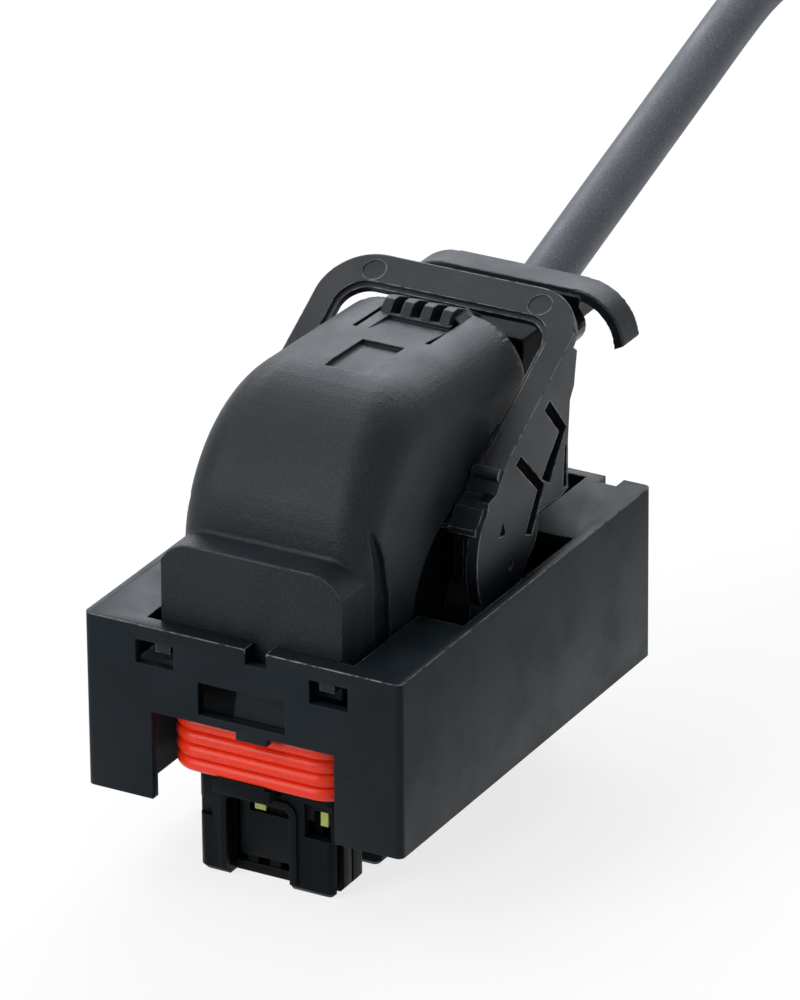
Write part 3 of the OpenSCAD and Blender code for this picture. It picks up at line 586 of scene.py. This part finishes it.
for node, mat in {"outer_housing": HOUSING, "inner_housing": INNER, "lever": LEVER, "front_retainer": NOSE,
                  "rear_retainer": NOSE, "front_seal": RED, "rear_seal": RED, "front_spacer": GREEN,
                  "rear_spacer": GREEN, "front_wire_seal": MAT_RED, "rear_wire_seal": MAT_RED,
                  "seal_cover": INNER, "signal_terminals": TIN, "power_terminals": TIN, "cavity_plugs": IVORY,
                  "signal_wires": BLUE, "power_wires": WIRE_RED, "cable_tie": TIE, "wire_tails": BLUE,
                  "cable_sheath": SHEATH, "wire_cover": COVER}.items():
    dress(nodes[node], mat)
dress(sheath, SHEATH)

# ---------- pieces ----------

cover = dress(make_cover(), COVER)


def neck_or_pocket(c, n):
    """The neck behind the hood and the pockets for the hubs, which get painted shade."""
    behind = HOOD_REAR + 0.1 < c.y < WING_Y[0] - 0.3 and abs(c.x) < 12.2 and c.z < WING_Z - 0.3
    return behind or (11.5 < abs(c.x) < 13.9 and math.hypot(c.y - PIVOT[0], c.z - PIVOT[1]) < HUB_R + 0.3)


# painted shade on the neck and the hub pockets
paint(cover, PAINTED_SHADE, neck_or_pocket)
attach(cover, "housing")
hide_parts("wire_cover")

HOUSING_Y = -36.25
block_skin = dress(crisp(cad_copy("housing_skin", "outer_housing"), 0.2), HOUSING)


def front_opening(c, n):
    """Inside faces of the windows and of the notch in the front wall, which get painted shade."""
    return HOUSING_Y + 0.15 < c.y < HOUSING_Y + 1.8 and abs(c.x) < 14 and c.z > 27 and n.z < 0.9


# painted shade inside the front windows and the notch
paint(block_skin, PAINTED_SHADE, front_opening)
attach(block_skin, "housing")
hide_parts("outer_housing")

for name, seal in {"front_seal": make_seal("front_seal_round", 11.8, FRONT_COLLAR, 2.4, (2.4, 0.55)),
                   "rear_seal": make_seal("rear_seal_round", 12.4, REAR_COLLAR, 1.3, (0.55, 1.3))}.items():
    dress(seal, RED)
    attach(seal, "housing")
    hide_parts(name)

nose = dress(crisp(cad_copy("nose_skin", "front_retainer"), 0.12), NOSE)
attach(nose, "housing")
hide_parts("front_retainer")

LEVER_X = 20.4
SLOT_DEPTH, MARK_DEPTH = 1.3, 0.35           # of the lattice slots and of the small marks in the lever's sides
lever = dress(crisp(cad_copy("lever_skin", "lever"), 0.14), LEVER)
# painted shade on the floors of the lever's lattice slots and small marks
paint(lever, PAINTED_SHADE, lambda c, n: abs(n.x) > 0.9 and any(abs(abs(c.x) - LEVER_X + d) < 0.04
                                                       for d in (SLOT_DEPTH, MARK_DEPTH)))
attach(lever, "lever")
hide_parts("lever")

# ---------- stage and light ----------

CENTRE = (0, 0.01, 0.04)
FLOOR_GLOW = 0.78                            # share of plain white that the camera sees in the floor


def seen(n):
    """1 for a ray from the camera, or one that metal or glass sends on, and 0 for light on the object."""
    path = n.add("ShaderNodeLightPath").outputs
    return n.calc("MAXIMUM", n.calc("MAXIMUM", path["Is Camera Ray"], path["Is Glossy Ray"]),
                  path["Is Transmission Ray"])


def add_stage():
    mat = bpy.data.materials.new("floor_pale")
    n = Nodes(mat, "ShaderNodeOutputMaterial")
    pale = n.add("ShaderNodeBsdfDiffuse", Color=(0.93, 0.93, 0.93, 1))
    n.blend(n.calc("MULTIPLY", seen(n), FLOOR_GLOW), pale, n.add("ShaderNodeEmission"))
    bm = bmesh.new()
    bmesh.ops.create_grid(bm, x_segments=1, y_segments=1, size=4)
    floor = from_bmesh("floor", bm)
    dress(floor, mat)

    scene.world = bpy.data.worlds.new("world")
    n = Nodes(scene.world, "ShaderNodeOutputWorld")
    plain = n.add("ShaderNodeBackground", Color=(0.95, 0.97, 1, 1), Strength=0.32)
    n.blend(seen(n), plain, n.add("ShaderNodeBackground", Strength=1))


def lamp(name, place, size, watts, colour=(1, 1, 1)):
    data = bpy.data.lights.new(name, "AREA")
    data.shape, data.size, data.size_y = "RECTANGLE", *size
    data.energy, data.color = watts, colour
    ob = bpy.data.objects.new(name, data)
    ob.location = place
    ob.rotation_euler = (Vector(CENTRE) - Vector(place)).to_track_quat("-Z", "Y").to_euler()
    scene.collection.objects.link(ob)


add_stage()
lamp("rear_low", (-0.28, 0.78, 0.55), (1.0, 0.5), 8.6, (0.88, 0.93, 1))
lamp("front_left", (-0.44, -0.74, 0.56), (0.5, 0.8), 5.8)
lamp("top_left", (-0.48, 0.0, 0.85), (0.5, 0.5), 2.6)
lamp("right_side", (0.9, -0.05, 0.45), (0.6, 0.6), 0.3)
scene.view_settings.view_transform = "Standard"
